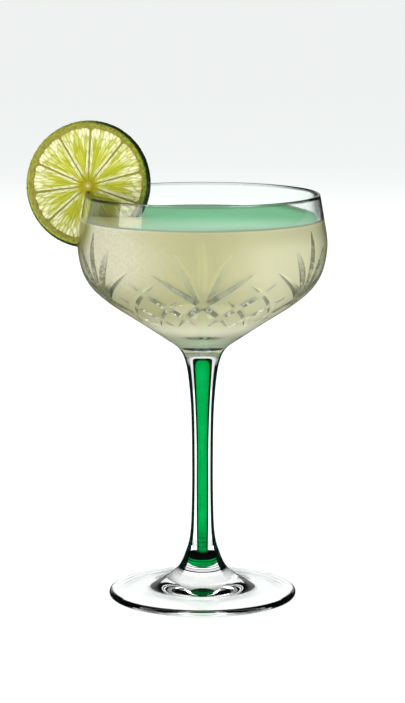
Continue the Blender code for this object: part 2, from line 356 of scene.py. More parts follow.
def outline_normals(outline, places):
    """The outline's unit normals at (radius, height) places, to the left of its way."""
    line = np.array([tuple(point) for point in outline])
    along = np.zeros_like(line)
    along[1:-1] = line[2:] - line[:-2]
    along[0] = line[1] - line[0]
    along[-1] = line[-1] - line[-2]
    normals = np.stack([-along[:, 1], along[:, 0]], axis=1)
    normals /= np.linalg.norm(normals, axis=1, keepdims=True)
    starts, steps = line[:-1], np.diff(line, axis=0)
    lengths = (steps**2).sum(axis=1)
    found = np.empty_like(places)
    for first in range(0, len(places), PLACES_AT_ONCE):
        part = places[first : first + PLACES_AT_ONCE]
        offset = part[:, None, :] - starts[None]
        share = np.clip((offset * steps).sum(axis=2) / lengths, 0, 1)
        gap = ((offset - share[..., None] * steps) ** 2).sum(axis=2)
        nearest = gap.argmin(axis=1)
        t = share[np.arange(len(part)), nearest][:, None]
        mixed = normals[nearest] * (1 - t) + normals[nearest + 1] * t
        found[first : first + PLACES_AT_ONCE] = mixed / np.linalg.norm(mixed, axis=1, keepdims=True)
    return found


# ---------- the glass
def bowl_surface():
    """A function that gives the bowl's place and outward normal at an angle and a height."""
    outline = smooth_outline(BOWL + STEM)[::-1]
    heights = [point.y for point in outline]
    radii = [point.x for point in outline]

    def surface(angle, height):
        ends = (height - SLOPE_REACH, height, height + SLOPE_REACH)
        lower, radius, upper = (float(np.interp(end, heights, radii)) for end in ends)
        slope = (upper - lower) / (2 * SLOPE_REACH)
        across, back = math.sin(angle), -math.cos(angle)
        normal = Vector((across, back, -slope)).normalized()
        return Vector((radius * across, radius * back, height)), normal

    return surface


def groove_cutter(surface, start, end, width):
    """A long V from start to end, both (degrees round, height), deepest halfway."""
    length = math.hypot(start[0] - end[0], start[1] - end[1])
    sections = max(FEWEST_SECTIONS, round(length / GROOVE_SECTION))
    depth = width / 2 / math.tan(GROOVE_HALF_ANGLE)

    def spot(t):
        angle = math.radians(start[0] + (end[0] - start[0]) * t)
        return surface(angle, start[1] + (end[1] - start[1]) * t)

    points = []
    for step in range(sections + 1):
        t = -GROOVE_OVERRUN + (1 + 2 * GROOVE_OVERRUN) * step / sections
        place, normal = spot(t)
        along = (spot(t + GROOVE_AHEAD)[0] - spot(t - GROOVE_AHEAD)[0]).normalized()
        side = normal.cross(along)
        swell = 4 * t * (1 - t)
        dip = depth * math.copysign(abs(swell) ** GROOVE_FULLNESS, swell)
        reach = (dip + GROOVE_LIFT) * math.tan(GROOVE_HALF_ANGLE)
        top = place + normal * GROOVE_LIFT
        share = dip / (dip + GROOVE_LIFT) if dip > 0 else 0
        skew = side.z * GROOVE_SKEW * reach * share
        bottom = place - normal * dip - side * skew
        points += [bottom, top + side * reach, top - side * reach]
    faces = [(0, 1, 2), tuple(3 * sections + corner for corner in range(3))]
    for step in range(sections):
        for corner in range(3):
            a, b = 3 * step + corner, 3 * step + (corner + 1) % 3
            faces.append((a, b, b + 3, a + 3))
    return closed_mesh("groove", points, faces)


def groove_cutters():
    surface = bowl_surface()
    rays = [CENTRE_RAY]
    for start, end, width in SIDE_RAYS:
        rays.append((start, end, width))
        rays.append(((-start[0], start[1]), (-end[0], end[1]), width * MIRRORED_WIDTH))
    cutters = []
    for fan in range(FANS):
        turn = 360 / FANS * fan
        for start, end, width in rays:
            start, end = (start[0] + turn, start[1]), (end[0] + turn, end[1])
            cutters.append(groove_cutter(surface, start, end, width))
    return cutters


def make_glass():
    """The whole glass, with its cuts. Turned faces take the outline's own normals, and cuts stay crisp."""
    outline = glass_outline()
    glass = boolean(turned("coupe_glass", outline, TURN_STEPS), groove_cutters())
    mesh = glass.data
    points = read(mesh.vertices, "co", 3) / MM
    radius = np.hypot(points[:, 0], points[:, 1])
    flat = outline_normals(outline, np.stack([radius, points[:, 2]], axis=1))
    unit = points[:, :2] / np.maximum(radius, ON_AXIS)[:, None]
    normals = np.column_stack([unit * flat[:, :1], flat[:, 1:]])
    # a cut's face leans by more than CUT_LEAN from the turned surface round it
    leans = read(mesh.polygons, "normal", 3)
    totals = read(mesh.polygons, "loop_total", kind=np.int64)
    loop_vertex = read(mesh.loops, "vertex_index", kind=np.int64)
    loop_face = np.repeat(np.arange(len(totals)), totals)
    around = np.zeros_like(leans)
    np.add.at(around, loop_face, normals[loop_vertex])
    around /= np.linalg.norm(around, axis=1, keepdims=True)
    if (leans * around).sum(axis=1).mean() < 0:
        normals, around = -normals, -around
    height = np.zeros(len(totals))
    np.add.at(height, loop_face, points[loop_vertex, 2])
    height /= totals
    low, high = CUT_HEIGHTS
    is_cut = ((leans * around).sum(axis=1) < math.cos(CUT_LEAN)) & (height > low) & (height < high)
    lean_up = leans[:, 2] - around[:, 2]
    crease(mesh, SMOOTH_BELOW)
    loops = normals[loop_vertex]
    loops[is_cut[loop_face]] = 0
    mesh.normals_split_custom_set(loops.tolist())
    set_floats(mesh, "FACE", cut=is_cut, lean_up=np.where(is_cut, lean_up, 0))
    return glass


def make_core():
    parts = [smooth_outline(part, OUTLINE_TOLERANCE / 2) for part in (CORE, CORE_COLLAR, CORE_PLUG)]
    return turned("stem_core_green", sum(parts, []) + [Vector(CORE_END)], CORE_STEPS)


# ---------- the drink
def make_drink():
    """Up to its level, with a meniscus, and just into the wall all round."""
    inside = inner_outline(least=3)
    skin = shifted(inside, [DRINK_INTO_WALL] * len(inside))
    skin[-1].x = 0
    heights = [point.y for point in skin][::-1]
    radii = [point.x for point in skin][::-1]
    brim = float(np.interp(DRINK_LEVEL + MENISCUS_RISE, heights, radii))
    top = [Vector((brim * share, DRINK_LEVEL)) for share in SURFACE_RINGS]
    flat = math.exp(-MENISCUS_CURVE)
    for step in range(1, MENISCUS_STEPS + 1):
        share = step / MENISCUS_STEPS
        rise = MENISCUS_RISE * (math.exp(MENISCUS_CURVE * (share - 1)) - flat) / (1 - flat)
        top.append(Vector((brim - MENISCUS_WIDTH * (1 - share), DRINK_LEVEL + rise)))
    below = [point for point in skin if point.y < DRINK_LEVEL + MENISCUS_RISE - MENISCUS_CLEAR]
    drink = turned("drink_body", top + below, TURN_STEPS)
    face, reach = WHEEL_FACE - WHEEL_ROOM, PEEL[3][0] - WHEEL_ROOM
    corners = ((0, face), (reach, face), (reach, -face), (0, -face))
    room = turned("room", map(Vector, corners), ROOM_STEPS)
    drink = boolean(drink, [place_on_rim(room)])
    mesh = drink.data
    crease(mesh, BRIM_CREASE)
    mesh.materials.clear()
    mesh.materials.append(drink_material())
    mesh.materials.append(surface_material())
    for face in mesh.polygons:
        is_high = face.center.z > (DRINK_LEVEL - SURFACE_DEPTH) * MM
        face.material_index = int(is_high and face.normal.z > SURFACE_UPWARD)
    return drink


# ---------- the lime wheel
def place_on_rim(made):
    """Stands a piece of the wheel up, leans it and sets its axis at the rim."""
    across, along = -WHEEL_SPREAD * math.cos(WHEEL_TURN), -WHEEL_SPREAD * math.sin(WHEEL_TURN)
    made.rotation_euler = (math.pi / 2 + WHEEL_LEAN, 0, WHEEL_TURN)
    made.location = (across * MM, along * MM, WHEEL_HEIGHT * MM)
    return made


def slit_ring():
    """The glass wall down to SLIT_LOWEST with a small gap round it, which the wheel's slit leaves free."""
    sides = []
    for outline, gap in ((smooth_outline(BOWL, SLIT_TOLERANCE), SLIT_GAP), (inner_outline(), -SLIT_GAP)):
        side = [point for point in outline if point.y > SLIT_LOWEST]
        side = shifted(side, [gap] * len(side))
        sides.append([Vector((side[0].x, RIM_HEIGHT + SLIT_GAP)), *side])
    ring = sides[0] + sides[1][::-1]
    points, rings = [], []
    for step in range(TURN_STEPS):
        angle = 2 * math.pi * step / TURN_STEPS
        rings.append(list(range(len(points), len(points) + len(ring))))
        points += [(p.x * math.cos(angle), p.x * math.sin(angle), p.y) for p in ring]
    return closed_mesh("slit", points, ring_faces(rings + rings[:1]))


def set_astride(wheel):
    """Places a piece of the wheel on the rim and cuts the slit for the wall."""
    place_on_rim(wheel)
    bpy.context.view_layer.update()
    return boolean(wheel, [slit_ring()])


def direction(angle):
    return np.array([math.cos(angle), math.sin(angle)])


def smoothstep(low, high, values):
    """0 up to low and 1 from high on."""
    t = np.clip((values - low) / (high - low), 0, 1)
    return t * t * (3 - 2 * t)


class Flesh:
    """The cut face of a lime: ten segments between membranes, packed with juice vesicles."""

    def __init__(self, spread=1.0, seed=7, turn=0.0):
        self.pith = np.array(PITH_PLACE)
        self.centre = np.array(FLESH_PLACE)
        self.radius = FLESH_RADIUS * spread
        self.starts = np.radians(np.array(MEMBRANES) + turn)
        self.spans = np.append(np.diff(self.starts), self.starts[0] + 2 * math.pi - self.starts[-1])
        self.rng = np.random.default_rng(seed)
        self.seeds = self.sow()

    def reach(self, angle):
        """From the pith to the flesh's edge."""
        off = self.pith - self.centre
        along = off[0] * np.cos(angle) + off[1] * np.sin(angle)
        return np.sqrt(along**2 + self.radius**2 - (off**2).sum()) - along

    def segment(self, points):
        """(number, share across, distance from the pith, share of the reach, mm to the nearest membrane)."""
        offset = points - self.pith
        distance = np.hypot(offset[:, 0], offset[:, 1])
        angle = (np.arctan2(offset[:, 1], offset[:, 0]) - self.starts[0]) % (2 * math.pi)
        edges = np.append(0, np.cumsum(self.spans))
        number = np.clip(np.searchsorted(edges, angle, side="right") - 1, 0, len(self.spans) - 1)
        share = (angle - edges[number]) / self.spans[number]
        reach = self.reach(angle + self.starts[0])
        nearest = np.minimum(share, 1 - share) * self.spans[number]
        to_membrane = distance * np.sin(np.minimum(nearest, math.pi / 2))
        return number, share, distance, distance / reach, to_membrane

    def sow(self):
        """One seed per vesicle: segment, place, direction, half length, half width, tone."""
        rows = []
        for number, (start, span) in enumerate(zip(self.starts, self.spans)):
            for place, heading, form in [*self.fanned(start, span), *self.along_membranes(start, span)]:
                rows.append((number, *place, *direction(heading), *form))
        return np.array(rows)

    def fanned(self, start, span):
        """Rows of vesicles across a segment that point at a spot near the pith."""
        draw = self.rng.uniform
        middle = start + span / 2
        focus = self.pith + VESICLE_FOCUS * direction(middle)
        for depth, width, half in VESICLE_ROWS:
            count = max(2, round(span * self.reach(middle) * depth / width))
            for i in range(count):
                angle = start + span * (i + 0.5 + draw(*VESICLE_ASIDE)) / count
                far = self.reach(angle) * (depth + draw(*VESICLE_OUTWARD))
                place = self.pith + far * direction(angle)
                fan = place - focus
                heading = math.atan2(fan[1], fan[0]) + draw(*VESICLE_TURN)
                form = (half * draw(*VESICLE_LENGTH), width * draw(*VESICLE_WIDTH), draw(0, 1))
                yield place, heading, form

    def along_membranes(self, start, span):
        """Long vesicles that lie along both of a segment's membranes."""
        draw = self.rng.uniform
        for edge, side in ((start, 1), (start + span, -1)):
            far = draw(*LONG_FIRST)
            while far < LONG_FARTHEST:
                angle = edge + side * LONG_INSET / far
                heading = angle + side * LONG_LEAN + draw(*LONG_TURN)
                form = (draw(*LONG_HALF_LENGTH), draw(*LONG_HALF_WIDTH), draw(*LONG_TONE))
                yield self.pith + far * direction(angle), heading, form
                far += draw(*LONG_STEP)

    def nearest(self, points, number):
        """Per point: how far its vesicle and the next one are, then that vesicle's tone, end and streak."""
        first, second, tone, end, streak = (np.zeros(len(points)) for _ in range(5))
        for segment in range(len(self.spans)):
            here = np.flatnonzero(number == segment)
            _, x, y, cosine, sine, half_length, half_width, tones = self.seeds[self.seeds[:, 0] == segment].T
            right, up = points[here, 0, None] - x, points[here, 1, None] - y
            along = (right * cosine + up * sine) / half_length
            across = -right * sine + up * cosine
            taper = 1 + VESICLE_TAPER * np.clip(along, *TAPER_ENDS)
            gap = np.sqrt(along**2 + (across / (half_width * taper)) ** 2)
            rows = np.arange(len(here))
            nearest, next_one = np.argsort(gap, axis=1)[:, :2].T
            first[here] = gap[rows, nearest]
            second[here] = gap[rows, next_one]
            tone[here] = tones[nearest]
            end[here] = np.abs(along[rows, nearest]) / np.maximum(first[here], ON_AXIS)
            streak[here] = np.sin(across[rows, nearest] * STREAK_WAVE + 9 * tone[here])
        return first, second, tone, end, streak

    def sample(self, points):
        """Per point: inside the flesh, vesicle tone, closeness to a skin, cream, star, height in mm.

        Cream is strongest at the rind and along the membranes. Star is the distance from the pith, longer
        in the middle of a segment, so that the pith's colour runs out in rays.
        """
        number, share, distance, depth, to_membrane = self.segment(points)
        first, second, tone, end, streak = self.nearest(points, number)
        ends_show = 0.75 - 0.55 * smoothstep(0.6, 0.85, depth)
        skin = (1 - smoothstep(0.0, 0.5, second - first)) * (1 - ends_show * smoothstep(0.7, 0.97, end))
        reach = distance / np.maximum(depth, ON_AXIS)
        half_membrane = MEMBRANE_HALF + MEMBRANE_WIDENS * smoothstep(0.15, 0.95, depth)
        aside = to_membrane - half_membrane
        inward = reach - distance - SEGMENT_INSET
        past = [np.maximum(SEGMENT_CORNER - gap, 0) for gap in (aside, inward)]
        inside = np.minimum(np.minimum(aside, inward), SEGMENT_CORNER - np.hypot(*past))
        flesh = smoothstep(0.0, SEGMENT_EDGE, inside) * smoothstep(*PITH_EDGE, distance)
        dome = np.clip(1 - 0.8 * first, 0, 1) ** 0.7
        # cream is the vesicles' own colour, with a painted highlight that makes it paler towards each
        # vesicle's middle
        outer = smoothstep(0.50, 0.95, depth) * (0.45 + 0.75 * dome) * (0.72 + 0.5 * tone)
        side = (1 - smoothstep(0.9, 1.5, to_membrane)) * smoothstep(0.14, 0.32, depth) * (0.62 + 0.5 * dome)
        cream = np.maximum(outer, side) + (tone - 0.62) * 0.55 * smoothstep(0.22, 0.6, depth)
        cream = np.clip(cream + 0.05 * streak, 0, 1)
        star = distance * (0.72 + 0.5 * np.minimum(share, 1 - share) * 2)
        height = flesh * (FLESH_STANDS + VESICLE_STANDS * dome - SKIN_SINKS * skin)
        return flesh, tone, skin, cream, star, height


def flesh_disc():
    """The flesh of the wheel: a fine front, a plainer back and a side between them, in its own XY plane."""
    reach = FLESH_RADIUS * FLESH_OVERLAP
    front = [(reach * i / FLESH_RINGS, FLESH_FACE) for i in range(FLESH_RINGS + 1)]
    back = [(reach * i / BACK_RINGS * BACK_SPREAD, -FLESH_FACE) for i in range(BACK_RINGS, -1, -1)]
    return turned("lime_flesh", front + back, FLESH_STEPS, FLESH_PLACE)


def make_flesh():
    """Ten segments of vesicles on both faces, sunk between the membranes, with a slit for the wall."""
    flesh = set_astride(flesh_disc())
    mesh = flesh.data
    points = read(mesh.vertices, "co", 3) / MM
    world = flesh.matrix_world
    spots = points @ np.array(world.to_3x3()).T + np.array(world.translation) / MM
    front = points[:, 2] > FLESH_FACE - FACE_TOLERANCE
    back = points[:, 2] < -FLESH_FACE + FACE_TOLERANCE
    fields = {key: np.zeros(len(points)) for key in ("flesh", "tone", "skin", "cream", "star")}
    back_form = Flesh(spread=BACK_SPREAD, seed=11, turn=3.0)
    for side, mask, form in ((1, front, Flesh()), (-1, back, back_form)):
        *found, height = form.sample(points[mask, :2])
        for key, data in zip(fields, found):
            fields[key][mask] = data
        inside = fields["flesh"][mask]
        ridge = FLESH_SUNK * (1 - inside)
        points[mask, 2] += side * np.minimum(height * inside + ridge, FLESH_HIGHEST)
    middle = ~(front | back)
    fields["flesh"][middle] = 1.0
    fields["cream"][middle] = SIDE_CREAM
    fields["star"][middle] = SIDE_STAR
    # where it dips into the glass, just over the drink, it gets painted shade
    over_line = spots[:, 2] - SHADE_LINE - SHADE_SLOPE * (spots[:, 0] + BOWL[0][0])
    in_glass = 1 - smoothstep(-SHADE_BLUR, SHADE_BLUR, over_line)
    in_glass *= 1 - smoothstep(*SHADE_BESIDE_WALL, np.hypot(spots[:, 0], spots[:, 1]))
    fields["painted_shade_in_glass"] = in_glass * (points[:, 2] > 0) * (1 - smoothstep(*SHADE_ACROSS, points[:, 0]))
    mesh.vertices.foreach_set("co", (points * MM).reshape(-1))
    mesh.update()
    set_floats(mesh, "POINT", **fields)
    crease(mesh, WHEEL_CREASE)
    return flesh


def make_peel():
    """The pith ring and the peel round the flesh, dimpled with oil glands."""
    side = smooth_outline(PEEL, PEEL_TOLERANCE, least=8)
    outline = [*map(Vector, PITH_FRONT), *side, *map(Vector, PITH_BACK)]
    points, rings = [], []
    for point in outline:
        off = 1 - float(smoothstep(*PITH_FOLLOWS_FLESH, point.x))
        rough = PEEL_BUMPS * float(smoothstep(*BUMPS_BEGIN, point.x))
        rings.append(list(range(len(points), len(points) + PEEL_STEPS)))
        for step in range(PEEL_STEPS):
            angle = 2 * math.pi * step / PEEL_STEPS
            waves = (math.sin(n * angle + 0.5 * point.y * n % 7 + n * n) for n in BUMP_WAVES)
            radius = point.x + rough * sum(waves)
            across, along = radius * math.cos(angle), radius * math.sin(angle)
            points.append((across + FLESH_PLACE[0] * off, along + FLESH_PLACE[1] * off, point.y))
    peel = set_astride(closed_mesh("lime_peel", points, ring_faces(rings + rings[:1])))
    crease(peel.data, WHEEL_CREASE)
    return peel


# ---------- nodes
class Nodes:
    """A node tree and short ways to add to it."""

    def __init__(self, tree):
        self.tree = tree

    def node(self, kind, feeds=None, **settings):
        """A new node, with its settings and what its inputs are fed."""
        made = self.tree.nodes.new(kind)
        for key, value in settings.items():
            setattr(made, key, value)
        for key, value in (feeds or {}).items():
            self.feed(made.inputs[key], value)
        return made

    def feed(self, socket, value):
        """Sets a socket to a number or a colour, or links it to another node's output."""
        if isinstance(value, (int, float)):
            socket.default_value = value
        elif isinstance(value, tuple):
            socket.default_value = (*value, 1.0)
        else:
            self.tree.links.new(value, socket)

    def math(self, operation, a, b=0.0, clamp=False):
        return self.node("ShaderNodeMath", {0: a, 1: b}, operation=operation, use_clamp=clamp).outputs[0]

    def plus(self, a, b):
        return self.math("ADD", a, b)

    def minus(self, a, b, clamp=False):
        return self.math("SUBTRACT", a, b, clamp)

    def times(self, *values):
        return functools.reduce(functools.partial(self.math, "MULTIPLY"), values)

    def most(self, *values):
        return functools.reduce(functools.partial(self.math, "MAXIMUM"), values)

    def map(self, value, low, high, to_low, to_high, kind="SMOOTHSTEP"):
        """Low to high becomes to_low to to_high, and nothing goes beyond them."""
        feeds = {"Value": value, "From Min": low, "From Max": high, "To Min": to_low, "To Max": to_high}
        return self.node("ShaderNodeMapRange", feeds, interpolation_type=kind).outputs[0]

    def above(self, value, low, high, most=1.0):
        """0 up to low and most from high on."""
        return self.map(value, low, high, 0.0, most)

    def below(self, value, low, high, most=1.0):
        """Most up to low and 0 from high on."""
        return self.map(value, high, low, 0.0, most)

    def oval(self, *ways):
        """0 in an oval's middle and 1 on its outline, from (value, middle, half width) for each way."""
        total = 0.0
        for value, middle, half in ways:
            share = self.math("DIVIDE", self.minus(value, middle), half)
            total = self.plus(total, self.math("POWER", share, 2.0))
        return total

    def mix(self, factor, a, b):
        return self.node("ShaderNodeMix", {0: factor, 6: a, 7: b}, data_type="RGBA").outputs[2]

    def coats(self, colour, *coats):
        """Lays each (share, colour) over what is under it."""
        for share, over in coats:
            colour = self.mix(share, colour, over)
        return colour

    def parts(self, vector):
        return tuple(self.node("ShaderNodeSeparateXYZ", {0: vector}).outputs)

    def in_mirrors(self):
        """1 for what a shiny skin reflects, 0 for what is lit or seen straight on."""
        path = self.node("ShaderNodeLightPath").outputs
        return self.minus(path["Is Reflection Ray"], path["Is Diffuse Ray"], clamp=True)


class Shader(Nodes):
    """A Principled material. Its noises are in object coordinates in metres, its places in millimetres."""

    def __init__(self, name, **settings):
        self.material = bpy.data.materials.new(name)
        self.material.use_nodes = True
        super().__init__(self.material.node_tree)
        self.bsdf = self.tree.nodes["Principled BSDF"]
        for key, value in settings.items():
            self.bsdf.inputs[key.replace("_", " ")].default_value = value

    def into(self, key, value):
        self.feed(self.bsdf.inputs[key], value)

    def attribute(self, name):
        return self.node("ShaderNodeAttribute", attribute_name=name).outputs["Fac"]

    def metres(self):
        return self.node("ShaderNodeTexCoord").outputs["Object"]

    def place(self):
        """(x, y, z) in millimetres."""
        feeds = {0: self.metres(), "Scale": 1 / MM}
        return self.parts(self.node("ShaderNodeVectorMath", feeds, operation="SCALE").outputs[0])

    def from_axis(self):
        """Millimetres from the upright axis, squared."""
        x, y, _ = self.place()
        return self.oval((x, 0.0, 1.0), (y, 0.0, 1.0))

    def upward(self):
        return self.node("ShaderNodeCombineXYZ", {"Z": 1.0}).outputs[0]

    def facing(self, normal=None):
        """0 where the skin, or another normal, is seen head on and 1 where it is seen edge on."""
        feeds = {"Blend": 0.5, "Normal": normal} if normal else {"Blend": 0.5}
        return self.node("ShaderNodeLayerWeight", feeds).outputs["Facing"]

    def round_side(self):
        """How far round the upright axis a place has turned away: 0 in front, 1 at the outline."""
        flat = self.node("ShaderNodeVectorMath", {0: self.metres()}, operation="MULTIPLY")
        flat.inputs[1].default_value = (1, 1, 0)
        outward = self.node("ShaderNodeVectorMath", {0: flat.outputs[0]}, operation="NORMALIZE")
        steep = self.math("POWER", self.minus(1.0, self.facing(self.upward())), 2.0)
        level = self.math("SQRT", self.most(self.minus(1.0, steep), 0.0001))
        ahead = self.math("DIVIDE", self.minus(1.0, self.facing(outward.outputs[0])), level)
        return self.minus(1.0, ahead, clamp=True)

    def from_crossing(self):
        """Millimetres along the bowl from the nearest crossing of two cuts."""
        x, y, height = self.place()
        angle = self.math("ARCTAN2", x, self.times(y, -1.0))
        angle = self.math("PINGPONG", angle, math.pi / FANS)
        feeds = {"X": self.times(angle, CROSSING_RADIUS), "Y": self.times(height, CROSSING_SLOPE)}
        here = self.node("ShaderNodeCombineXYZ", feeds)
        distances = []
        for degrees, crossing_height in CROSSINGS:
            measure = self.node("ShaderNodeVectorMath", {0: here.outputs[0]}, operation="DISTANCE")
            across, along = math.radians(degrees) * CROSSING_RADIUS, crossing_height * CROSSING_SLOPE
            measure.inputs[1].default_value = (across, along, 0.0)
            distances.append(measure.outputs["Value"])
        return functools.reduce(functools.partial(self.math, "MINIMUM"), distances)

    def noise(self, scale, detail=3.0, roughness=0.5, distortion=0.0):
        feeds = {"Vector": self.metres(), "Scale": scale, "Detail": detail, "Roughness": roughness}
        return self.node("ShaderNodeTexNoise", {**feeds, "Distortion": distortion}).outputs["Fac"]

    def cells(self, scale):
        feeds = {"Vector": self.metres(), "Scale": scale}
        return self.node("ShaderNodeTexVoronoi", feeds, feature="F1").outputs["Distance"]

    def bump(self, height, strength, distance):
        feeds = {"Height": height, "Strength": strength, "Distance": distance}
        self.into("Normal", self.node("ShaderNodeBump", feeds).outputs[0])


# ---------- materials
def painted_edge_shade(shader):
    """How dark the glass is painted where it is seen along its skin: painted shade, as glass before a bright
    wall looks dark there.
    """
    x, _, height = shader.place()
    facing, sideways = shader.facing(), shader.round_side()
    normal = shader.parts(shader.node("ShaderNodeNewGeometry").outputs["Normal"])
    upright = shader.below(shader.math("ABSOLUTE", normal[2]), 0.62, 0.86)
    slender = shader.times(shader.above(sideways, 0.31, 0.35), shader.below(height, 92.5, 96.0))
    stem = shader.most(shader.above(sideways, 0.47, 0.53), slender)
    stem = shader.times(shader.below(height, 99.0, 102.0), stem)
    side = shader.times(shader.above(height, 118.0, 128.0), shader.above(sideways, 0.52, 0.92, most=0.8))
    wall = shader.times(shader.above(height, 150.0, 151.0), shader.above(facing, 0.60, 0.80, most=0.97))
    bowl = shader.most(shader.above(facing, 0.70, 0.92, most=0.8), side, wall)
    away_from_lime = shader.most(shader.above(x, -34.0, -28.0), shader.below(height, 149.6, 150.2))
    bowl = shader.times(shader.above(height, 100.0, 104.0), bowl, away_from_lime)
    rim = shader.times(shader.above(height, 158.5, 159.3), shader.map(facing, 0.10, 0.45, 0.3, 0.95))
    return shader.math("ADD", rim, shader.times(upright, shader.plus(stem, bowl)), clamp=True)


def glass_material():
    """Clear glass, painted near black where it is seen edge on. The cuts' upper faces are painted grainy grey
    as shade, lower down darker and with painted pale glints.
    """
    shader = Shader("clear_glass", Roughness=0.0, IOR=1.5)
    height, facing, sideways = shader.place()[2], shader.facing(), shader.round_side()
    body = shader.coats(
        (0.995, 1.0, 0.998),
        (shader.above(height, 112.0, 126.0), (0.76, 0.765, 0.76)),
        (shader.above(height, 149.5, 150.5), (0.98, 0.995, 0.99)),
        # painted near-black shade where the glass is seen edge on
        (painted_edge_shade(shader), (0.0, 0.0001, 0.00005)),
    )
    cut = shader.attribute("cut")
    # painted shade on the cuts' upper faces, stronger low down and fainter where two cuts cross
    low = shader.below(height, 121.0, 128.0)
    up = shader.above(shader.attribute("lean_up"), 0.04, 0.42)
    up = shader.math("MULTIPLY", up, shader.map(low, 0.0, 1.0, 1.0, 1.6), clamp=True)
    up = shader.times(up, shader.map(shader.from_crossing(), 1.0, 2.6, 0.2, 1.0))
    grain = shader.above(shader.noise(260.0, 4.0, 0.65), 0.36, 0.66)
    streaks = shader.above(shader.noise(520.0, 2.0, 0.5, distortion=2.0), 0.48, 0.68)
    # painted pale glints low on the cuts
    painted_glint = shader.times(streaks, shader.below(height, 120.0, 125.0))
    grey = shader.coats(
        shader.mix(grain, (0.19, 0.23, 0.26), (0.46, 0.50, 0.51)),
        (low, shader.mix(grain, (0.07, 0.09, 0.09), (0.34, 0.37, 0.38))),
        (painted_glint, (0.80, 0.83, 0.82)),
        # painted shade where a cut is seen edge on
        (shader.above(facing, 0.35, 0.75, most=0.8), (0.10, 0.13, 0.09)),
    )
    # cuts at the sides of the bowl are painted dark, as shade
    at_side = shader.above(sideways, 0.30, 0.46, most=0.95)
    at_side = shader.times(at_side, shader.map(streaks, 0.0, 1.0, 1.0, 0.6))
    dark = shader.mix(grain, (0.02, 0.025, 0.018), (0.09, 0.10, 0.07))
    facet = shader.coats((0.93, 0.935, 0.92), (up, grey), (at_side, dark))
    shader.into("Base Color", shader.mix(cut, body, facet))
    # the painted shade and glints show as a diffuse haze over the clear glass
    painted_facet_share = shader.times(cut, up, shader.plus(shader.times(painted_glint, 0.45), 0.12))
    shader.into("Transmission Weight", shader.minus(1.0, painted_facet_share))
    shader.bump(shader.times(shader.noise(38.0, 2.0, 0.4), shader.above(height, 30.0, 100.0)), 0.025, MM)
    return shader.material


def core_material():
    """Green glass with painted shade: nearly black at its edge and top, and deeper in colour where it is seen
    along its length. Darker low down, with rings at its foot, near black at its collar and, as painted shade,
    under its plug.
    """
    shader = Shader("green_glass", Roughness=0.3, IOR=1.5, Specular_IOR_Level=0.0)
    height = shader.place()[2]
    streaks = shader.above(shader.noise(180.0, 3.0, 0.6), 0.3, 0.7)
    lower = shader.times(shader.below(height, 20.0, 34.0, most=0.6), shader.above(height, 16.0, 17.0))
    # painted shade where the core is seen along its length
    along = shader.below(shader.facing(shader.upward()), 0.45, 0.72, most=0.75)
    top = shader.map(height, 91.5, 95.5, 0.0, 1.0, kind="LINEAR")
    # painted near-black shade at the core's edge and top
    edge = shader.above(shader.oval((shader.round_side(), 0.0, 0.36), (top, 0.0, 1.0)), 0.75, 1.10)
    edge = shader.times(edge, shader.above(height, 17.2, 17.4))

    def rings(spacing, low, high):
        return shader.above(shader.math("SINE", shader.times(height, 2 * math.pi / spacing)), low, high)

    wide = shader.times(rings(1.9, 0.82, 0.97), shader.below(height, 25.0, 25.2))
    narrow = shader.times(rings(1.05, 0.45, 0.9), shader.below(height, 14.5, 14.7))
    gap = shader.times(shader.below(height, 17.1, 17.4), shader.above(height, 14.4, 14.6))
    green = shader.coats(
        shader.mix(streaks, (0.0, 0.35, 0.062), (0.0, 0.42, 0.084)),
        (lower, (0.0, 0.17, 0.03)),
        (along, (0.0, 0.06, 0.012)),
        (edge, (0.0, 0.012, 0.003)),
        (shader.most(wide, narrow), (0.0, 0.035, 0.008)),
        # near black at the collar, and painted shade under the plug
        (shader.most(gap, shader.below(height, 10.8, 11.8, most=0.9)), (0.001, 0.003, 0.002)),
    )
    shader.into("Base Color", green)
    return shader.material


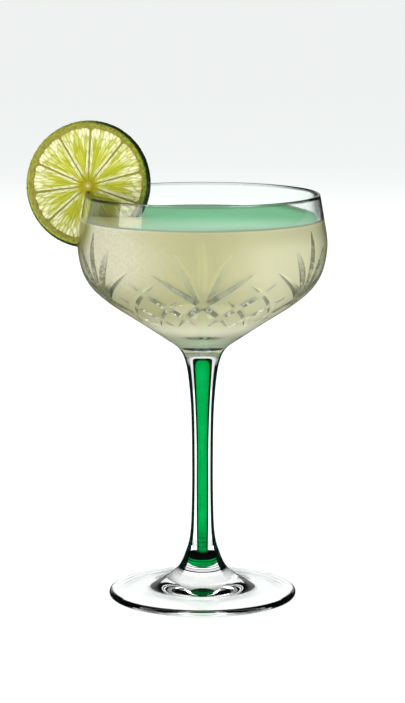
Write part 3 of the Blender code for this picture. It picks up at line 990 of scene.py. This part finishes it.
def drink_material():
    """The drink through the glass: a painted highlight on the left, painted lighter on the right and low
    down, green at its foot, where a painted dark lens shows the stem's green.
    """
    cloudy = {"Subsurface_Weight": 0.2, "Subsurface_Scale": 4 * MM, "Subsurface_Radius": (1.0, 0.95, 0.6)}
    shader = Shader("daiquiri", Roughness=0.5, IOR=1.33, Specular_IOR_Level=0.0, **cloudy)
    x, y, height = shader.place()
    cloud = shader.above(shader.noise(26.0, 3.0, 0.55), 0.35, 0.65)
    grain = shader.above(shader.noise(1300.0, 2.0, 0.6), 0.42, 0.58)
    painted_highlight = shader.mix(grain, (0.88, 0.84, 0.62), (1.0, 0.97, 0.82))
    # a painted highlight on the left, with fine grain
    left = shader.times(shader.below(x, -34.0, -4.0), shader.above(height, 118.0, 136.0), 0.9)
    under_top = shader.times(shader.above(height, 141.0, 148.5), shader.above(x, -34.0, -16.0, most=0.55))
    # olive where the lime is close to the wall
    by_lime = shader.below(shader.oval((y, -5.0, 16.5), (height, 148.0, 13.0)), 0.30, 1.20, most=0.85)
    by_lime = shader.times(by_lime, shader.below(x, -40.0, -34.0))
    # a painted dark lens, the stem's green seen through the glass, and the thick glass under it
    lens = shader.below(shader.oval((x, 0.0, 9.0), (height, 107.05, 1.1)), 0.0, 1.0)
    lens = shader.times(lens, shader.map(shader.noise(900.0, 2.0, 0.6), 0.40, 0.60, 0.45, 1.0))
    under_lens = shader.times(shader.below(height, 104.2, 105.2), shader.above(height, 102.5, 103.0))
    body = shader.coats(
        shader.mix(cloud, (0.64, 0.62, 0.343), (0.67, 0.65, 0.373)),
        (left, painted_highlight),
        # painted lighter on the right and low down
        (shader.above(x, 0.0, 30.0, most=0.9), (0.96, 0.94, 0.68)),
        (shader.below(height, 108.0, 120.0), (0.92, 0.90, 0.73)),
        (shader.below(height, 106.0, 111.0), (0.50, 0.52, 0.38)),
        (under_top, (0.66, 0.66, 0.38)),
        (by_lime, (0.44, 0.44, 0.10)),
        (lens, (0.03, 0.09, 0.04)),
        (under_lens, (0.50, 0.60, 0.42)),
        # a painted dark line at the drink's floor and painted shade along the meniscus
        (shader.below(height, 102.45, 102.6), (0.04, 0.06, 0.06)),
        (shader.above(height, DRINK_LEVEL, DRINK_LEVEL + 0.3), (0.34, 0.37, 0.30)),
    )
    shader.into("Base Color", body)
    return shader.material


def surface_material():
    """Mint, painted paler at the front as light, with a painted reflection of the lime's cream and olive
    before the wheel, and grey at the wall.
    """
    shader = Shader("daiquiri_surface", Roughness=0.4, IOR=1.33, Specular_IOR_Level=0.1)
    x, y, _ = shader.place()
    cloud = shader.above(shader.noise(30.0, 3.0, 0.55), 0.3, 0.7)
    # painted reflection of the lime on the drink's top
    lime_reflection = shader.below(shader.oval((x, -39.5, 1.0), (y, -12.0, 1 / 0.66)), 12.5**2, 20.5**2)
    from_wheel = shader.plus(y, shader.times(x, 0.176))
    lime_reflection = shader.times(lime_reflection, shader.below(from_wheel, -2.0, 1.0))
    top = shader.coats(
        shader.mix(cloud, (0.145, 0.49, 0.235), (0.17, 0.55, 0.27)),
        # painted light: paler at the front
        (shader.below(y, -28.0, 6.0), (0.38, 0.68, 0.46)),
        (lime_reflection, shader.mix(shader.below(x, -36.0, -26.0), (0.60, 0.60, 0.34), (0.40, 0.40, 0.16))),
        (shader.above(shader.math("SQRT", shader.from_axis()), 45.0, 45.8), (0.40, 0.48, 0.38)),
    )
    shader.into("Base Color", top)
    shader.bump(shader.noise(55.0, 2.0, 0.4), 0.03, MM)
    return shader.material


def flesh_material():
    """Each vesicle has its own green, cream towards the rind and the membranes, and a thin dark skin."""
    juicy = {"Subsurface_Weight": 0.15, "Subsurface_Scale": MM, "Subsurface_Radius": (1.0, 1.0, 0.4)}
    shader = Shader("lime_flesh", Roughness=0.35, IOR=1.38, Specular_IOR_Level=0.15, **juicy)
    names = ("flesh", "tone", "skin", "cream", "star", "painted_shade_in_glass")
    flesh, tone, skin, cream, star, painted_shade_in_glass = (shader.attribute(name) for name in names)
    fine = shader.noise(2600.0, 3.0, 0.6)
    pulp = shader.coats(
        shader.mix(tone, (0.28, 0.29, 0.012), (0.385, 0.395, 0.040)),
        (cream, (0.575, 0.56, 0.355)),
        (shader.times(skin, 0.8), (0.22, 0.23, 0.030)),
        (shader.above(fine, 0.45, 0.7, most=0.15), (0.42, 0.44, 0.05)),
    )
    # yellow rays round the middle, a tan pith and its pale core
    colour = shader.coats(
        shader.mix(shader.above(fine, 0.35, 0.65), (0.14, 0.13, 0.015), (0.20, 0.185, 0.028)),
        (flesh, pulp),
        (shader.below(star, 2.3, 5.0, most=0.9), (0.24, 0.215, 0.006)),
        (shader.below(star, 1.05, 1.35), (0.28, 0.23, 0.060)),
        (shader.below(star, 0.35, 0.7), (0.42, 0.36, 0.15)),
        # painted shade where the wheel dips into the glass
        (shader.times(painted_shade_in_glass, 0.8), (0.17, 0.18, 0.003)),
    )
    shader.into("Base Color", colour)
    shader.bump(fine, 0.25, 0.2 * MM)
    return shader.material


def peel_material():
    """Dull pith inside, then pored green skin, bright at the front and painted nearly black round the back as
    shade, except at the top left where light falls.
    """
    shader = Shader("lime_peel", Roughness=0.38, IOR=1.45, Specular_IOR_Level=0.35)
    x, y, depth = shader.place()
    fine = shader.noise(900.0, 3.0, 0.6)
    pith = shader.mix(shader.above(fine, 0.35, 0.65), (0.145, 0.13, 0.018), (0.21, 0.19, 0.032))
    pores = shader.cells(620.0)
    between = shader.above(pores, 0.1, 0.6)
    bright = shader.mix(between, (0.11, 0.145, 0.008), (0.23, 0.27, 0.025))
    shaded_skin = shader.mix(between, (0.001, 0.004, 0.001), (0.006, 0.014, 0.002))
    # painted shade round the back of the peel, less at the top left where light falls
    top_left = shader.minus(shader.times(y, 0.7), shader.times(x, 0.7))
    painted_shade_share = shader.times(shader.below(depth, 0.4, 1.8), shader.map(top_left, 13.0, 19.0, 1.0, 0.15))
    skin = shader.mix(painted_shade_share, bright, shaded_skin)
    uneven = shader.times(shader.minus(fine, 0.5), 0.9)
    ragged = shader.plus(shader.math("SQRT", shader.from_axis()), uneven)
    shader.into("Base Color", shader.mix(shader.above(ragged, 22.8, 23.3), pith, skin))
    shader.bump(pores, 0.7, 0.4 * MM)
    return shader.material


def floor_material():
    """Mostly its own even glow, so that it stays plain and pale, with some shadow on it. Dark in mirrors."""
    shader = Shader("studio_floor", Roughness=0.8, IOR=1.3, Specular_IOR_Level=0.0, Emission_Strength=0.74)
    path = shader.node("ShaderNodeLightPath").outputs
    seen = shader.math("ADD", path["Is Camera Ray"], path["Is Transmission Ray"], clamp=True)
    glow = shader.mix(seen, (1.36, 1.40, 1.38), (0.98, 1.0, 0.99))
    near = shader.below(shader.from_axis(), 100.0**2, 200.0**2)
    glow = shader.mix(shader.times(path["Is Transmission Ray"], near), glow, (1.36, 1.39, 1.375))
    in_mirrors = shader.in_mirrors()
    shader.into("Emission Color", shader.mix(in_mirrors, glow, (0.015, 0.017, 0.016)))
    plain = shader.mix(shader.noise(40.0, 4.0, 0.5), (0.33, 0.345, 0.34), (0.35, 0.365, 0.36))
    shader.into("Base Color", shader.mix(in_mirrors, plain, (0.02, 0.02, 0.02)))
    return shader.material


# ---------- studio, in metres
CAMERA_PLACE = (0.0, -1.065, 0.2706)
CAMERA_DOWN = math.radians(9.217)
CAMERA_SENSOR = 36
PHOTO_HEIGHT = 703
FOCAL_PIXELS = 2751
FLOOR_HALF = 12.0
FLOOR_HEIGHT = -0.0003
# name, place, aim, (width, height), watts
SOFTBOXES = (
    ("key", (-0.9, -1.1, 0.9), (0, 0, 0.13), (0.8, 0.8), 6.0),
    ("window", (-1.24, -0.38, 0.40), (0, 0, 0.15), (0.62, 0.5), 6.0),
    ("fill", (0.9, -1.0, 1.2), (0, 0, 0.12), (0.8, 0.8), 8.0),
    ("low_left", (-0.75, -0.85, 0.10), (0, 0, 0.11), (0.6, 0.2), 6.5),
    ("low_right", (0.75, -0.85, 0.10), (0, 0, 0.11), (0.6, 0.2), 9.0),
    ("top", (0.0, 0.3, 1.2), (0, 0, 0.1), (0.9, 0.6), 4.0),
    ("back_left", (-0.8, 1.1, 0.5), (0, 0, 0.12), (0.8, 0.8), 7.0),
    ("back_right", (0.8, 1.1, 0.5), (0, 0, 0.12), (0.8, 0.8), 7.0),
)


def make_camera():
    scene = bpy.context.scene
    camera = new_object("camera", bpy.data.cameras.new("camera"))
    camera.location = CAMERA_PLACE
    camera.rotation_euler = (math.pi / 2 - CAMERA_DOWN, 0, 0)
    camera.data.sensor_fit = "VERTICAL"
    camera.data.sensor_height = CAMERA_SENSOR
    camera.data.lens = FOCAL_PIXELS / PHOTO_HEIGHT * CAMERA_SENSOR
    camera.data.clip_start = 0.01
    scene.camera = camera


def make_floor():
    half, low = FLOOR_HALF, FLOOR_HEIGHT
    corners = [(-half, -half, low), (half, -half, low), (half, half, low), (-half, half, low)]
    mesh = bpy.data.meshes.new("floor")
    mesh.from_pydata(corners, [], [(0, 1, 2, 3)])
    mesh.materials.append(floor_material())
    new_object("studio_floor", mesh)


def make_lamps():
    for name, place, aim, size, watts in SOFTBOXES:
        lamp = bpy.data.lights.new(name, "AREA")
        lamp.shape = "RECTANGLE"
        lamp.size, lamp.size_y = size
        lamp.energy = watts
        made = new_object(name, lamp)
        made.location = place
        made.rotation_euler = (Vector(aim) - Vector(place)).to_track_quat("-Z", "Y").to_euler()
        made.visible_glossy = False
        if name.startswith("back"):
            made.visible_camera = made.visible_transmission = False


def make_world():
    """A soft wall, grey to light. The camera sees it plain, and mirrors see it dark with one pale card."""
    world = bpy.data.worlds.new("studio")
    bpy.context.scene.world = world
    world.use_nodes = True
    world.node_tree.nodes.clear()
    nodes = Nodes(world.node_tree)
    _, back, up = nodes.parts(nodes.node("ShaderNodeTexCoord").outputs["Generated"])
    wall = nodes.mix(nodes.above(back, 0.60, 0.88), (0.34, 0.355, 0.35), (0.90, 0.92, 0.91))
    card = nodes.times(nodes.above(back, 0.86, 0.95), nodes.above(up, 0.04, 0.09))
    mirrored = nodes.mix(card, (0.03, 0.032, 0.03), (0.60, 0.62, 0.61))
    light = nodes.mix(nodes.in_mirrors(), wall, mirrored)
    seen = nodes.node("ShaderNodeLightPath").outputs["Is Camera Ray"]
    colour = nodes.mix(seen, light, (0.93, 0.95, 0.94))
    background = nodes.node("ShaderNodeBackground", {"Color": colour})
    nodes.node("ShaderNodeOutputWorld", {0: background.outputs[0]})


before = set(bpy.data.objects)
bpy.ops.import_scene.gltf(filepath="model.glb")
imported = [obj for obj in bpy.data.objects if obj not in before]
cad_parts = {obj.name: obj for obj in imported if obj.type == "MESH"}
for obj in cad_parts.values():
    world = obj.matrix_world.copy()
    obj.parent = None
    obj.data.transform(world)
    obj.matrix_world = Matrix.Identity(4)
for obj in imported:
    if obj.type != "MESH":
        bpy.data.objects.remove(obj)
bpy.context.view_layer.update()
bpy.context.scene.view_settings.view_transform = "Standard"
make_camera()
make_floor()
make_lamps()
make_world()
for make, material, node, slot in (
    (make_glass, glass_material, "glass", "clear_glass"),
    (make_core, core_material, "stem_core", "green_glass"),
    (make_drink, None, "drink", "daiquiri"),
    (make_flesh, flesh_material, "lime_wheel", "lime"),
    (make_peel, peel_material, "lime_wheel", "lime"),
):
    piece = make()
    if material:
        piece.data.materials.clear()
        piece.data.materials.append(material())
    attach(piece, "root")
    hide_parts(node)
